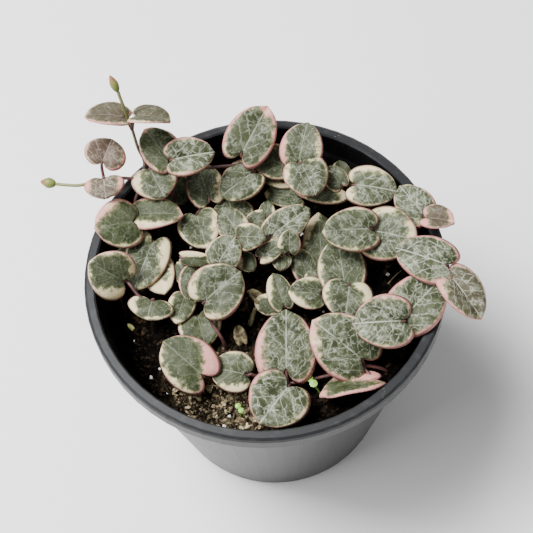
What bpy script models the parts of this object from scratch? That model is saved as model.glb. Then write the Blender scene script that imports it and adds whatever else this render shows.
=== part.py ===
"""A variegated string of hearts in a black nursery pot.

The pot stands on the XY plane with its axis on Z, and the part is in metres. The plant
is laid out by sight: each leaf and stem is placed where the picture of the plant shows it,
at a height over the pot's rim that is stated in millimetres.
"""

import math
from collections import namedtuple

import bmesh
import bpy
from mathutils import Matrix, Vector, noise

MM = 0.001

# Pot: a thin tapered shell with a flanged rim and a collar that steps in to the body.
POT_HEIGHT = 90 * MM
RIM_RADIUS = 55 * MM
RIM_WIDTH = 3.4 * MM
RIM_SKIRT = 5.5 * MM
WALL = 1.2 * MM
COLLAR_DEPTH = 10 * MM
COLLAR_STEP = 1.3 * MM
BASE_RADIUS = 38 * MM
DRAIN_COUNT = 8
DRAIN_RADIUS = 4.5 * MM
DRAIN_RING = 30 * MM
POT_STEPS = 60
SOIL_STEPS = 36
MERGE = 0.0002 * MM
CUTTER_SIDES = 8

# Soil: it fills the pot to a little under the rim, and is cut for each stem's root.
SOIL_DROP = 14 * MM
SOIL_GAP = 0.3 * MM
SOIL_SETTLE = 3 * MM
SOIL_RINGS = 6
SOIL_ROUGHNESS = 0.9 * MM
SOIL_TILT = 1.5 * MM
ROOT_DEPTH = 7 * MM
ROOT_GAP = 0.35 * MM

# Plant: blade and stem sizes.
BLADE = 0.9 * MM
BLADE_ARCH = 0.2
STEM_RADIUS = 0.62 * MM
STALK_RADIUS = 0.55 * MM
STEM_SIDES = 6
STALK_SIDES = 4

# Sight: the eye that the picture was taken from, aimed at the middle of the rim.
EYE_DISTANCE = 350 * MM
EYE_ELEVATION = math.radians(61.5)
EYE_ROLL = math.radians(-5.7)
FOCAL_PX = 1161.4
RIM_CENTRE_PX = (264.8, 268.0)

# Half of a heart's outline, from the notch round a lobe to the tip: across in half widths
# and along in lengths, both measured from where the stalk joins.
HEART = ((0.0, 0.0), (0.2, -0.19), (0.52, -0.25), (0.84, -0.1), (1.0, 0.2),
         (0.9, 0.53), (0.54, 0.84), (0.0, 1.0))
SPINE = (0.25, 0.5, 0.75)

Leaf = namedtuple("Leaf", "node base tip low high width roll fold", defaults=(0, 0.12))
Bud = namedtuple("Bud", "tip height radius")
Vine = namedtuple("Vine", "stem leaves bud", defaults=(None,))

# Each stem runs from the soil through its leaf nodes: (picture x, picture y, height in mm).
# Each leaf: its node's place in that run, the picture points of its stalk and its tip, the
# heights of both, its width in mm, its roll about the midrib in degrees, and its fold.
VINES = {
    "shoot_back_left": Vine(
        stem=((152, 240, -14), (140, 224, -7), (135, 204, -4), (139, 190, -2), (142, 181, 0.1),
              (144, 171, 1.8), (144, 160, 3.4), (138, 148, 6), (132, 129, 16), (124, 108, 25), (118, 92, 30)),
        leaves=(Leaf(8, (122, 118), (84, 117), 21, 22, 12.5, 36, 0.3),
                Leaf(8, (138, 117), (171, 122), 21, 21, 11.8, -40, 0.3),
                Leaf(2, (132, 222), (94, 229), 0.4, 3.4, 16.2, 0, 0.1),
                Leaf(2, (139, 215), (184, 216), -1.2, -1, 12, -18, 0.26)),
        bud=Bud((111, 78), 34, 1.3)),
    "shoot_left": Vine(
        stem=((185, 205, -14), (174, 196, -8), (158, 187, -2.6), (143, 180, 1.8),
              (120, 178, 4), (104, 179, 4.6), (82, 185, 4.6), (66, 185, 4.2), (56, 184, 4)),
        leaves=(Leaf(5, (103, 161), (112, 139), 10, 11.5, 13.2, 8, 0.2),
                Leaf(5, (104, 180), (106, 199), 8.2, 7.2, 12.6, 0, 0.05),
                Leaf(2, (151, 171), (165, 198), 3.9, 3.2, 15, 0, 0.08),
                Leaf(1, (172, 184), (185, 204), -8, -10.5, 11, 0, 0.1)),
        bud=Bud((43, 182), 4, 1.7)),
    "vine_back": Vine(
        stem=((236, 202, -14), (246, 184, -8), (252, 166, 0), (228, 166, 1.4),
              (204, 168, 2.4), (185, 166, 6), (171, 160, 8)),
        leaves=(Leaf(2, (243, 151), (268, 106), 6, 10, 15.6, 6, 0.14),
                Leaf(2, (251, 174), (221, 197), 0, -3, 13, 0, 0.12),
                Leaf(6, (168, 159), (144, 129), 8, 10, 12.5, 0, 0.1),
                Leaf(6, (175, 159), (215, 152), 10.8, 10.8, 12.2, 8, 0.24))),
    "vine_under_back": Vine(
        stem=((298, 200, -14), (290, 180, -8.5), (289, 169, -5)),
        leaves=(Leaf(2, (284, 165), (251, 155), -1.8, -1, 12, 0, 0.16),
                Leaf(2, (289, 176), (256, 169), -5, -5.5, 9.5, -10, 0.1),
                Leaf(1, (297, 197), (264, 194), -9, -10, 8.5, 0, 0.2))),
    "vine_back_pair": Vine(
        stem=((318, 188, -14), (308, 174, -6), (300, 164, 1)),
        leaves=(Leaf(2, (299, 160), (308, 122), 3.5, 9, 14, -8, 0.16),
                Leaf(2, (302, 165), (316, 196), 4.5, 3, 14.2, 0, 0.08))),
    "vine_back_right": Vine(
        stem=((352, 204, -14), (344, 194, -9), (342, 187, -6.5)),
        leaves=(Leaf(2, (338, 188), (291, 186), -3.6, -3, 11.5, 0, 0.14),
                Leaf(2, (340, 184), (326, 167), -2.2, -1.5, 8, 0, 0.1),
                Leaf(2, (342, 184), (339, 160), -7.5, -5, 7.5, 0, 0.16))),
    "vine_right_back": Vine(
        stem=((372, 214, -14), (362, 196, -7), (355, 186, -3)),
        leaves=(Leaf(2, (357, 185), (398, 192), 0.5, 0, 13.6, 0, 0.16),)),
    "vine_rim_right": Vine(
        stem=((396, 238, -14), (406, 230, -7), (416, 222, -1), (426, 217, 1.5)),
        leaves=(Leaf(3, (422, 214), (399, 186), 2.2, 1.6, 12, 0, 0.06),
                Leaf(3, (428, 219), (455, 224), 5, 6, 9.5, -20, 0.5))),
    "vine_right_pair": Vine(
        stem=((372, 252, -14), (370, 240, -6), (370, 231, 0)),
        leaves=(Leaf(2, (368, 229), (322, 232), 6.5, 6, 14, 0, 0.12),
                Leaf(2, (373, 231), (418, 241), 3, 4.6, 17.5, 0, 0.08))),
    "vine_rim_low": Vine(
        stem=((398, 262, -14), (414, 262, -7), (432, 266, 0), (446, 271, 5)),
        leaves=(Leaf(3, (444, 264), (395, 248), 9, 9, 14.4, 0, 0.06),
                Leaf(3, (452, 279), (481, 320), 6.5, 2.5, 12.5, -12, 0.3))),
    "vine_low_right": Vine(
        stem=((396, 302, -14), (400, 310, -7), (403, 318, -1)),
        leaves=(Leaf(2, (405, 316), (442, 277), 2.4, 4.8, 16.6, 0, 0.1),
                Leaf(2, (401, 321), (352, 324), 4, 4, 16.2, 0, 0.18))),
    "vine_left": Vine(
        stem=((122, 300, -14), (120, 290, -9), (126, 281, -3.6), (138, 295, -5), (150, 302, -6)),
        leaves=(Leaf(2, (122, 280), (89, 262), -1.5, 5.5, 15.4, -6, 0.2),
                Leaf(4, (152, 302), (147, 320), -5.4, -6, 14.4, 0, 0.02))),
    "vine_left_inner": Vine(
        stem=((164, 262, -14), (158, 252, -9), (154, 246, -6)),
        leaves=(Leaf(2, (152, 244), (134, 291), -4.8, -7, 14.2, 0, 0.06),
                Leaf(1, (154, 262), (165, 295), -8, -9, 11.5, 0, 0.06),
                Leaf(2, (136, 262), (113, 254), -7.6, -6.4, 8, 0, 0.1))),
    "vine_low_left": Vine(
        stem=((200, 296, -14), (196, 284, -10), (195, 272, -8)),
        leaves=(Leaf(2, (196, 272), (189, 301), -7.3, -8.2, 9.5, 0, 0.1),
                Leaf(1, (188, 280), (177, 262), -9.2, -8.4, 6.4, 0, 0.08),
                Leaf(1, (184, 298), (176, 324), -8.6, -8.8, 8.6, 0, 0.1))),
    "vine_over_soil": Vine(
        stem=((226, 348, -14), (221, 337, -9), (210, 320, -6), (205, 303, -3)),
        leaves=(Leaf(3, (206, 300), (241, 271), -1.5, 2.2, 17.2, 0, 0.16),)),
    "vine_dark": Vine(
        stem=((196, 334, -14), (196, 328, -12.6), (197, 322, -11.6)),
        leaves=(Leaf(2, (198, 318), (206, 348), -10.6, -11.2, 13.4, 0, 0.16),)),
    "leaf_front_left": Vine(
        stem=((214, 381, -14), (210, 379, -11.6), (204, 376, -9.6)),
        leaves=(Leaf(2, (201, 374), (163, 341), -7.4, -5, 16.2, 0, 0.1),)),
    "leaf_front": Vine(
        stem=((262, 378, -14), (256, 376, -11), (250, 374, -9.8)),
        leaves=(Leaf(2, (244, 374), (210, 367), -9.4, -10.4, 12.6, 0, 0.16),)),
    "vine_mid_left": Vine(
        stem=((214, 222, -14), (206, 212, -11), (204, 206, -9)),
        leaves=(Leaf(2, (208, 196), (197, 163), -6.5, -6.6, 12.6, 0, 0.1),
                Leaf(2, (197, 217), (207, 249), -4.6, -5.6, 14, 0, 0.12))),
    "rosette": Vine(
        stem=((245, 252, -14), (243, 244, -8), (240, 238, -4), (238, 262, -7)),
        leaves=(Leaf(2, (238, 234), (221, 208), -1.6, -0.6, 10, 0, 0.14),
                Leaf(2, (240, 237), (266, 238), -0.6, 0.6, 9.2, 0, 0.16),
                Leaf(1, (250, 229), (263, 210), -5, -3.6, 6.4, 0, 0.1),
                Leaf(3, (219, 262), (236, 236), -3, 1.4, 11.2, 0, 0.1),
                Leaf(3, (186, 258), (216, 260), -4, -4, 5, 30, 0.1),
                Leaf(3, (243, 258), (254, 271), -7, -7.4, 6.4, 0, 0.1))),
    "vine_shaded": Vine(
        stem=((252, 232, -14), (246, 224, -11), (244, 220, -9.5)),
        leaves=(Leaf(2, (234, 222), (228, 197), -9.4, -9.2, 14.4, 0, 0.06),
                Leaf(2, (266, 224), (268, 200), -8.6, -6.6, 6.2, 0, 0.12),
                Leaf(1, (262, 232), (271, 243), -9.6, -9.6, 4, 0, 0.1))),
    "vine_centre": Vine(
        stem=((290, 262, -14), (284, 256, -9), (276, 246, -7)),
        leaves=(Leaf(2, (274, 234), (310, 208), -4, -1, 11, 0, 0.2),
                Leaf(1, (289, 250), (290, 229), -4, 0.4, 7.4, 0, 0.12),
                Leaf(2, (263, 256), (285, 242), -5, -3, 6.4, 0, 0.14),
                Leaf(1, (282, 257), (281, 271), -7.4, -7.8, 6.4, 0, 0.1))),
    "vine_mid_right": Vine(
        stem=((352, 306, -14), (350, 294, -8), (348, 285, -6)),
        leaves=(Leaf(2, (344, 282), (337, 238), -4.4, -2.6, 15, 0, 0.08),
                Leaf(2, (349, 287), (345, 320), -3.6, -5, 15.6, 0, 0.06))),
    "vine_shaded_right": Vine(
        stem=((318, 286, -14), (312, 280, -12), (308, 276, -11)),
        leaves=(Leaf(2, (306, 274), (298, 248), -11, -10, 8, 0, 0.1),
                Leaf(1, (322, 268), (318, 212), -11, -9.6, 12, 0, 0.06))),
    "vine_mid": Vine(
        stem=((330, 300, -14), (322, 296, -9), (301, 302, -10), (280, 306, -10)),
        leaves=(Leaf(1, (319, 294), (288, 292), -6.4, -5, 10.4, 0, 0.14),
                Leaf(1, (318, 287), (309, 270), -8, -7, 7, 0, 0.1),
                Leaf(3, (283, 303), (273, 273), -7.4, -5.4, 8.2, 0, 0.14),
                Leaf(3, (274, 306), (254, 301), -8.6, -8.4, 7, 0, 0.14))),
    "vine_front": Vine(
        stem=((386, 372, -14), (362, 366, -9), (326, 376, -10), (288, 384, -9)),
        leaves=(Leaf(3, (286, 368), (286, 309), -6, -3, 18.4, 0, 0.1),
                Leaf(3, (287, 388), (259, 424), -4, -3.2, 18.4, 0, 0.1),
                Leaf(1, (360, 358), (312, 320), -5, -0.6, 19, 0, 0.08),
                Leaf(1, (371, 381), (319, 397), -7.4, -8.4, 14, 58, 0.2))),
}

# Each seedling: the picture points of its two leaves and its foot, and a leaf's width in mm.
SEEDLINGS = {
    "seedling_front": ((238, 406), (241, 410.5), (241, 414), 1.9),
    "seedling_right": ((309, 378), (313.5, 383.5), (321, 394), 2.6),
}
SEEDLING_RISE = 5.5 * MM
SEEDLING_STALK = 0.35 * MM


def sight_axes():
    """The eye, and its unit vectors to the right, up and forward, over the rim's middle."""
    back = Vector((0, -math.cos(EYE_ELEVATION), math.sin(EYE_ELEVATION)))
    right = Vector((1, 0, 0))
    turn = Matrix.Rotation(EYE_ROLL, 3, back)
    return back * EYE_DISTANCE, turn @ right, turn @ back.cross(right), -back


def seen(u, v, height):
    """The point at this height over the rim, in mm, that the picture shows at pixel (u, v)."""
    eye, right, up, forward = sight_axes()
    across = (u - RIM_CENTRE_PX[0]) / FOCAL_PX
    down = (v - RIM_CENTRE_PX[1]) / FOCAL_PX
    ray = forward + right * across - up * down
    point = eye + ray * ((height * MM - eye.z) / ray.z)
    return point + Vector((0, 0, POT_HEIGHT))


def leaf_frame(leaf):
    """A leaf's stalk point, its length, and its axes: across, along and out of the blade."""
    base = seen(*leaf.base, leaf.low)
    tip = seen(*leaf.tip, leaf.high)
    along = (tip - base).normalized()
    facing = Vector((0, -0.3, 1))
    normal = (facing - along * facing.dot(along)).normalized()
    normal = Matrix.Rotation(math.radians(leaf.roll), 3, along) @ normal
    return base, (tip - base).length, along.cross(normal), along, normal


def blade_point(leaf, frame, across, along):
    """A point of the blade's middle surface, across in half widths and along in lengths."""
    base, length, side, forward, normal = frame
    half = leaf.width * MM / 2
    fold = half * leaf.fold * abs(across) * (2 - 1.1 * abs(across))
    arch = length * BLADE_ARCH * along * (1 - along)
    return base + side * (half * across) + forward * (length * along) + normal * (fold + arch)


def clear_scene():
    """Leaves an empty scene."""
    for obj in list(bpy.data.objects):
        bpy.data.objects.remove(obj)


def new_collection(name):
    """A new collection in the scene."""
    collection = bpy.data.collections.new(name)
    bpy.context.scene.collection.children.link(collection)
    return collection


def split(mesh):
    """Splits the mesh's faces into triangles."""
    work = bmesh.new()
    work.from_mesh(mesh)
    bmesh.ops.triangulate(work, faces=work.faces)
    work.to_mesh(mesh)
    work.free()


def new_object(name, data, collection):
    """An object of this data, linked to the collection."""
    obj = bpy.data.objects.new(name, data)
    collection.objects.link(obj)
    return obj


def finish(name, colour, roughness):
    """A Principled material."""
    material = bpy.data.materials.new(name)
    material.use_nodes = True
    shader = material.node_tree.nodes["Principled BSDF"]
    shader.inputs["Base Color"].default_value = (*colour, 1)
    shader.inputs["Roughness"].default_value = roughness
    shader.inputs["Metallic"].default_value = 0
    return material


def solid_from(obj, name, collection):
    """A plain mesh object of what obj evaluates to, in place of obj."""
    graph = bpy.context.evaluated_depsgraph_get()
    mesh = bpy.data.meshes.new_from_object(obj.evaluated_get(graph), depsgraph=graph)
    mesh.transform(obj.matrix_world)
    work = bmesh.new()
    work.from_mesh(mesh)
    bmesh.ops.remove_doubles(work, verts=work.verts, dist=MERGE)
    work.to_mesh(mesh)
    work.free()
    bpy.data.objects.remove(obj)
    return new_object(name, mesh, collection)


def turned(name, profile, steps, collection):
    """A solid turned about Z from (radius, height) points that run down its outer side."""
    mesh = bpy.data.meshes.new(name)
    edges = [(i, i + 1) for i in range(len(profile) - 1)]
    mesh.from_pydata([(radius, 0, height) for radius, height in profile], edges, [])
    obj = new_object(name, mesh, collection)
    screw = obj.modifiers.new("turn", "SCREW")
    screw.steps = screw.render_steps = steps
    screw.use_merge_vertices = True
    screw.merge_threshold = 0.01 * MM
    bpy.context.view_layer.update()
    return solid_from(obj, name, collection)


def body_radius(height):
    """The body's outer radius at a height between the foot and the collar's step."""
    step = POT_HEIGHT - COLLAR_DEPTH
    top = RIM_RADIUS - RIM_WIDTH + WALL - COLLAR_STEP
    return BASE_RADIUS + (top - BASE_RADIUS) * height / step


def inner_profile():
    """The pot's inside from the floor's corner up to the rim, as (radius, height)."""
    step = POT_HEIGHT - COLLAR_DEPTH
    mouth = RIM_RADIUS - RIM_WIDTH
    return [(body_radius(WALL) - WALL, WALL), (body_radius(step) - WALL, step),
            (mouth - 0.4 * MM, step + 1.5 * MM), (mouth, POT_HEIGHT - 0.5 * MM)]


def make_pot(collection, cutters, material):
    """The pot, with its drain holes, stepped collar and flanged rim."""
    step = POT_HEIGHT - COLLAR_DEPTH
    ease = 0.5 * MM
    flange = POT_HEIGHT - WALL
    skirt = POT_HEIGHT - RIM_SKIRT
    collar = RIM_RADIUS - RIM_WIDTH + WALL
    profile = [(0, WALL), *inner_profile(),
               (RIM_RADIUS - RIM_WIDTH + ease, POT_HEIGHT), (RIM_RADIUS - 2 * ease, POT_HEIGHT),
               (RIM_RADIUS - ease / 2, POT_HEIGHT - ease), (RIM_RADIUS, POT_HEIGHT - 3 * ease),
               (RIM_RADIUS, skirt), (RIM_RADIUS - WALL, skirt), (RIM_RADIUS - WALL, flange),
               (collar, flange), (collar - ease, step + ease), (body_radius(step), step - ease),
               (body_radius(3 * ease), 3 * ease), (BASE_RADIUS - ease, 0), (0, 0)]
    pot = turned("pot", profile, POT_STEPS, collection)
    for i in range(DRAIN_COUNT):
        angle = math.tau * i / DRAIN_COUNT
        place = Vector((DRAIN_RING * math.cos(angle), DRAIN_RING * math.sin(angle), 0))
        add_cutter(f"drain_{i + 1}", place, DRAIN_RADIUS, 6 * WALL, cutters)
    cut(pot, cutters)
    pot.data.materials.append(material)
    pot.data.shade_smooth()
    pot.data.set_sharp_from_angle(angle=math.radians(35))
    return pot


def add_cutter(name, place, radius, depth, cutters):
    """A hidden upright cylinder about the place, to cut with."""
    mesh = bpy.data.meshes.new(name)
    work = bmesh.new()
    bmesh.ops.create_cone(work, cap_ends=True, segments=CUTTER_SIDES, radius1=radius, radius2=radius,
                          depth=depth, matrix=Matrix.Translation(place))
    work.to_mesh(mesh)
    work.free()
    cutter = new_object(name, mesh, cutters)
    cutter.hide_render = True
    cutter.display_type = "WIRE"


def cut(obj, cutters):
    """Cuts the whole collection of cutters out of the object."""
    modifier = obj.modifiers.new("cut", "BOOLEAN")
    modifier.operation = "DIFFERENCE"
    modifier.operand_type = "COLLECTION"
    modifier.collection = cutters


def soil_height(x, y):
    """The soil's surface: gentle relief, higher to the right."""
    relief = noise.noise(Vector((x, y, 0)) / (11 * MM)) + noise.noise(Vector((x, y, MM)) / (5 * MM)) / 2
    return POT_HEIGHT - SOIL_DROP + SOIL_ROUGHNESS * relief + SOIL_TILT * x / RIM_RADIUS


def make_soil(collection, cutters, material):
    """The root ball and soil, turned to the pot's inside, with a hole for each stem."""
    top = POT_HEIGHT - SOIL_DROP
    edge = body_radius(top - SOIL_SETTLE) - WALL - SOIL_GAP
    rings = [(edge * i / SOIL_RINGS, top) for i in range(SOIL_RINGS + 1)]
    floor = WALL + SOIL_GAP
    profile = [*rings, (body_radius(floor) - WALL - SOIL_GAP, floor), (0, floor)]
    soil = turned("soil", profile, SOIL_STEPS, collection)
    for vertex in soil.data.vertices:
        if vertex.co.z > top - 0.1 * MM:
            vertex.co.z = soil_height(vertex.co.x, vertex.co.y)
    split(soil.data)
    for name, root, radius in roots():
        add_cutter(f"hole_{name}", root, radius + ROOT_GAP, 2 * (ROOT_DEPTH + ROOT_GAP), cutters)
    cut(soil, cutters)
    soil.data.materials.append(material)
    return soil


def roots():
    """Where each stem enters the soil: its name, the point and its radius."""
    for name, vine in VINES.items():
        u, v, height = vine.stem[0]
        point = seen(u, v, height)
        yield name, Vector((point.x, point.y, soil_height(point.x, point.y))), STEM_RADIUS
    for name, (_, _, foot, _) in SEEDLINGS.items():
        point = seen(*foot, -SOIL_DROP / MM)
        yield name, Vector((point.x, point.y, soil_height(point.x, point.y))), SEEDLING_STALK


def tube(name, points, radius, sides, collection, taper=1.0):
    """A round solid along the points, as a mesh."""
    curve = bpy.data.curves.new(name, "CURVE")
    curve.dimensions = "3D"
    curve.bevel_depth = radius
    curve.bevel_resolution = sides // 2 - 2
    curve.use_fill_caps = True
    spline = curve.splines.new("POLY")
    spline.points.add(len(points) - 1)
    for i, (slot, point) in enumerate(zip(spline.points, points)):
        slot.co = (*point, 1)
        slot.radius = 1 + (taper - 1) * i / (len(points) - 1)
    obj = new_object(name, curve, collection)
    bpy.context.view_layer.update()
    return solid_from(obj, name, collection)


def blade(name, leaf, collection):
    """One leaf blade: a heart-shaped surface, folded along its midrib and thickened."""
    frame = leaf_frame(leaf)
    work = bmesh.new()
    spine = [work.verts.new((0, along, 0)) for along in SPINE]
    notch = work.verts.new((*HEART[0], 0))
    tip = work.verts.new((*HEART[-1], 0))
    for side in (-1, 1):
        edge = [work.verts.new((side * across, along, 0)) for across, along in HEART[1:-1]]
        ring = [notch, *edge, tip, *reversed(spine)]
        work.faces.new(ring if side > 0 else reversed(ring))
    bmesh.ops.triangulate(work, faces=work.faces)
    for vert in work.verts:
        vert.co = blade_point(leaf, frame, vert.co.x, vert.co.y)
    bmesh.ops.recalc_face_normals(work, faces=work.faces)
    mesh = bpy.data.meshes.new(name)
    work.to_mesh(mesh)
    work.free()
    obj = new_object(name, mesh, collection)
    shell = obj.modifiers.new("thickness", "SOLIDIFY")
    shell.thickness = BLADE
    shell.offset = 0
    bpy.context.view_layer.update()
    return solid_from(obj, name, collection)


def stalk_line(leaf, node):
    """The stalk's route from its node, in under the notch and into the blade."""
    frame = leaf_frame(leaf)
    base, _, _, along, normal = frame
    under = base - along * (1.2 * MM) - normal * (0.9 * MM)
    return [node, under, blade_point(leaf, frame, 0, 0.1)]


def add_oval(name, placing, collection):
    """A unit ball placed and stretched by the matrix."""
    mesh = bpy.data.meshes.new(name)
    work = bmesh.new()
    bmesh.ops.create_uvsphere(work, u_segments=8, v_segments=5, radius=1, matrix=placing)
    work.to_mesh(mesh)
    work.free()
    new_object(name, mesh, collection)


def make_bud(name, bud, root, collection):
    """A closed growing tip at the end of a shoot."""
    tip = seen(*bud.tip, bud.height)
    turn = (tip - root).to_track_quat("Z", "Y").to_matrix().to_4x4()
    size = Matrix.Diagonal((bud.radius * MM, bud.radius * MM, (tip - root).length * 0.6, 1))
    add_oval(name, Matrix.Translation(tip.lerp(root, 0.4)) @ turn @ size, collection)


def keep_largest(mesh):
    """Drops scraps and the walls of sealed hollows, so one closed surface is left."""
    work = bmesh.new()
    work.from_mesh(mesh)
    left = set(work.faces)
    islands = []
    while left:
        edge = [left.pop()]
        island = set(edge)
        while edge:
            near = {face for line in edge.pop().edges for face in line.link_faces} & left
            left -= near
            island |= near
            edge.extend(near)
        islands.append(island)
    islands.sort(key=len)
    scraps = [face for island in islands[:-1] for face in island]
    bmesh.ops.delete(work, geom=scraps, context="FACES")
    work.to_mesh(mesh)
    work.free()


def fuse(name, core, pieces, collection, material):
    """One body of the core and everything in the pieces' collection."""
    join = core.modifiers.new("join", "BOOLEAN")
    join.operation = "UNION"
    join.operand_type = "COLLECTION"
    join.collection = pieces
    bpy.context.view_layer.update()
    whole = solid_from(core, name, collection)
    keep_largest(whole.data)
    for obj in list(pieces.objects):
        bpy.data.objects.remove(obj)
    bpy.data.collections.remove(pieces)
    whole.data.materials.append(material)
    return whole


def make_vine(name, vine, collection, material):
    """One leafy stem: the stem, its stalks, blades and growing tip in one body."""
    pieces = new_collection(f"{name}_pieces")
    points = [seen(*point) for point in vine.stem]
    ground = Vector((points[0].x, points[0].y, soil_height(points[0].x, points[0].y)))
    points[0] = ground
    buried = ground - Vector((0, 0, ROOT_DEPTH))
    line = [buried, *points]
    core = tube(f"{name}_stem", line, STEM_RADIUS, STEM_SIDES, collection, 0.8)
    for i, leaf in enumerate(vine.leaves):
        blade(f"{name}_blade_{i + 1}", leaf, pieces)
        line = stalk_line(leaf, points[leaf.node])
        tube(f"{name}_stalk_{i + 1}", line, STALK_RADIUS, STALK_SIDES, pieces)
    if vine.bud:
        make_bud(f"{name}_bud", vine.bud, points[-1], pieces)
    return fuse(name, core, pieces, collection, material)


def make_seedling(name, seedling, collection, material):
    """A weed seedling: a thread of a stalk with two round seed leaves."""
    first, second, foot, width = seedling
    pieces = new_collection(f"{name}_pieces")
    root = seen(*foot, -SOIL_DROP / MM)
    root.z = soil_height(root.x, root.y)
    head_height = (root.z + SEEDLING_RISE - POT_HEIGHT) / MM
    places = [seen(*first, head_height), seen(*second, head_height)]
    head = (places[0] + places[1]) / 2 - Vector((0, 0, 0.2 * MM))
    line = [root - Vector((0, 0, ROOT_DEPTH / 2)), root, (root + head) / 2, head]
    core = tube(f"{name}_stalk", line, SEEDLING_STALK, STEM_SIDES, collection)
    for i, place in enumerate(places):
        size = Matrix.Diagonal((width * MM / 2, width * MM / 2, 0.4 * MM, 1))
        add_oval(f"{name}_leaf_{i + 1}", Matrix.Translation(place) @ size, pieces)
    return fuse(name, core, pieces, collection, material)


def main():
    clear_scene()
    plant = new_collection("string_of_hearts")
    drains = new_collection("drain_cutters")
    holes = new_collection("hole_cutters")
    black = finish("black_plastic", (0.02, 0.02, 0.022), 0.45)
    earth = finish("potting_soil", (0.035, 0.024, 0.017), 0.95)
    leafy = finish("leaf", (0.3, 0.36, 0.27), 0.5)
    sprout = finish("sprout", (0.25, 0.5, 0.12), 0.5)
    for name, vine in VINES.items():
        make_vine(name, vine, plant, leafy)
    for name, seedling in SEEDLINGS.items():
        make_seedling(name, seedling, plant, sprout)
    make_pot(plant, drains, black)
    make_soil(plant, holes, earth)


main()
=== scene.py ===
import math
import random
from collections import namedtuple
import bmesh
import bpy
from mathutils import Matrix, Vector, noise


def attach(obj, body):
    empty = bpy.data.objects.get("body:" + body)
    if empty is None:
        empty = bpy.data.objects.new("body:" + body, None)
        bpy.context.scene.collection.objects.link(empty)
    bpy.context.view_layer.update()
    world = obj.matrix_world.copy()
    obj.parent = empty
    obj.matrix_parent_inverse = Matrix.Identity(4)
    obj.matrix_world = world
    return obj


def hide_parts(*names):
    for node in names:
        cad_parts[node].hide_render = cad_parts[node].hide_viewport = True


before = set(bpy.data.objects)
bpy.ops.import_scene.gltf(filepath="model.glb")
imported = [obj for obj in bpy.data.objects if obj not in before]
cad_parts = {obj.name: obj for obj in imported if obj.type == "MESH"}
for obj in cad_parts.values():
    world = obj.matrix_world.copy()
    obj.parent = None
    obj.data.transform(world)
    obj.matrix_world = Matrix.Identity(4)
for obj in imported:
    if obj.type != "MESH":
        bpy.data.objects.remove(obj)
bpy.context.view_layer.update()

# Camera: the photo was taken from above the front of the pot, a little rolled. The rim's
# middle is 350 mm from the eye. All the sizes below are in metres unless they say mm.
MM = 0.001
POT_HEIGHT = 90 * MM
EYE_DISTANCE = 350 * MM
EYE_ELEVATION = math.radians(61.5)
EYE_ROLL = math.radians(-5.7)
FOCAL_PX = 1161.4
PICTURE_PX = 533
SENSOR_MM = 36
RIM_CENTRE_PX = (264.8, 268.0)
back = Vector((0, -math.cos(EYE_ELEVATION), math.sin(EYE_ELEVATION)))
roll = Matrix.Rotation(EYE_ROLL, 3, back)
right = roll @ Vector((1, 0, 0))
up = roll @ back.cross(Vector((1, 0, 0)))
eye = back * EYE_DISTANCE + Vector((0, 0, POT_HEIGHT))
lens = bpy.data.cameras.new("camera")
lens.sensor_width = SENSOR_MM
lens.lens = SENSOR_MM * FOCAL_PX / PICTURE_PX
lens.shift_x = (PICTURE_PX / 2 - RIM_CENTRE_PX[0]) / PICTURE_PX
lens.shift_y = (RIM_CENTRE_PX[1] - PICTURE_PX / 2) / PICTURE_PX
lens.clip_start = 0.01
camera = bpy.data.objects.new("camera", lens)
camera.matrix_world = Matrix.Translation(eye) @ Matrix((right, up, back)).transposed().to_4x4()
bpy.context.scene.collection.objects.link(camera)
bpy.context.scene.camera = camera


# Pot: a thin black nursery pot, moulded in one piece. The CAD's solid stays, in satin black
# plastic with a fine grain, faint scuffs on top of the rim and specks of pale grit. The whole top
# of the rim is also painted lighter than the body, a painted highlight where it faces the light.
def adder(tree):
    """A function that adds a node to the tree, with its inputs linked or set."""
    def add(kind, inputs=None, **settings):
        made = tree.nodes.new(kind)
        for key, value in settings.items():
            setattr(made, key, value)
        for key, value in (inputs or {}).items():
            if isinstance(value, bpy.types.NodeSocket):
                tree.links.new(value, made.inputs[key])
            else:
                made.inputs[key].default_value = value
        return made

    return add


def shader(name, roughness):
    """A new material, functions that add a node and join two, and its Principled shader."""
    material = bpy.data.materials.new(name)
    material.use_nodes = True
    tree = material.node_tree
    principled = tree.nodes["Principled BSDF"]
    principled.inputs["Roughness"].default_value = roughness
    principled.inputs["Metallic"].default_value = 0
    return material, adder(tree), tree.links.new, principled


def ramp(add, value, low, high):
    """The value eased from 0 at low to 1 at high."""
    made = add("ShaderNodeMapRange", {"Value": value, "From Min": low, "From Max": high},
               interpolation_type="SMOOTHSTEP")
    return made.outputs["Result"]


def blend(add, amount, first, second):
    """The colour first where amount is 0 and second where it is 1."""
    return add("ShaderNodeMix", {0: amount, 6: first, 7: second}, data_type="RGBA").outputs[2]


def maths(add, operation, first, second=0.0):
    """The two values joined by the operation."""
    return add("ShaderNodeMath", {0: first, 1: second}, operation=operation).outputs[0]


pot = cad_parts["pot"]
material, add, join, principled = shader("pot plastic", 0.4)
place = add("ShaderNodeTexCoord").outputs["Object"]
grain = add("ShaderNodeTexNoise", {"Vector": place, "Scale": 2600, "Detail": 3}).outputs[0]
streaks = add("ShaderNodeMapping", {"Vector": place, "Scale": (900, 900, 5200)}).outputs[0]
scuffs = add("ShaderNodeTexNoise", {"Vector": streaks, "Scale": 0.35, "Detail": 4}).outputs[0]
blotch = add("ShaderNodeTexNoise", {"Vector": place, "Scale": 90, "Detail": 3}).outputs[0]
grit = add("ShaderNodeTexVoronoi", {"Vector": place, "Scale": 700}).outputs["Distance"]
height = add("ShaderNodeSeparateXYZ", {"Vector": place}).outputs["Z"]
top = ramp(add, height, POT_HEIGHT - 1.4 * MM, POT_HEIGHT - 0.3 * MM)
worn = maths(add, "MULTIPLY", ramp(add, scuffs, 0.5, 0.72), top)
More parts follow.
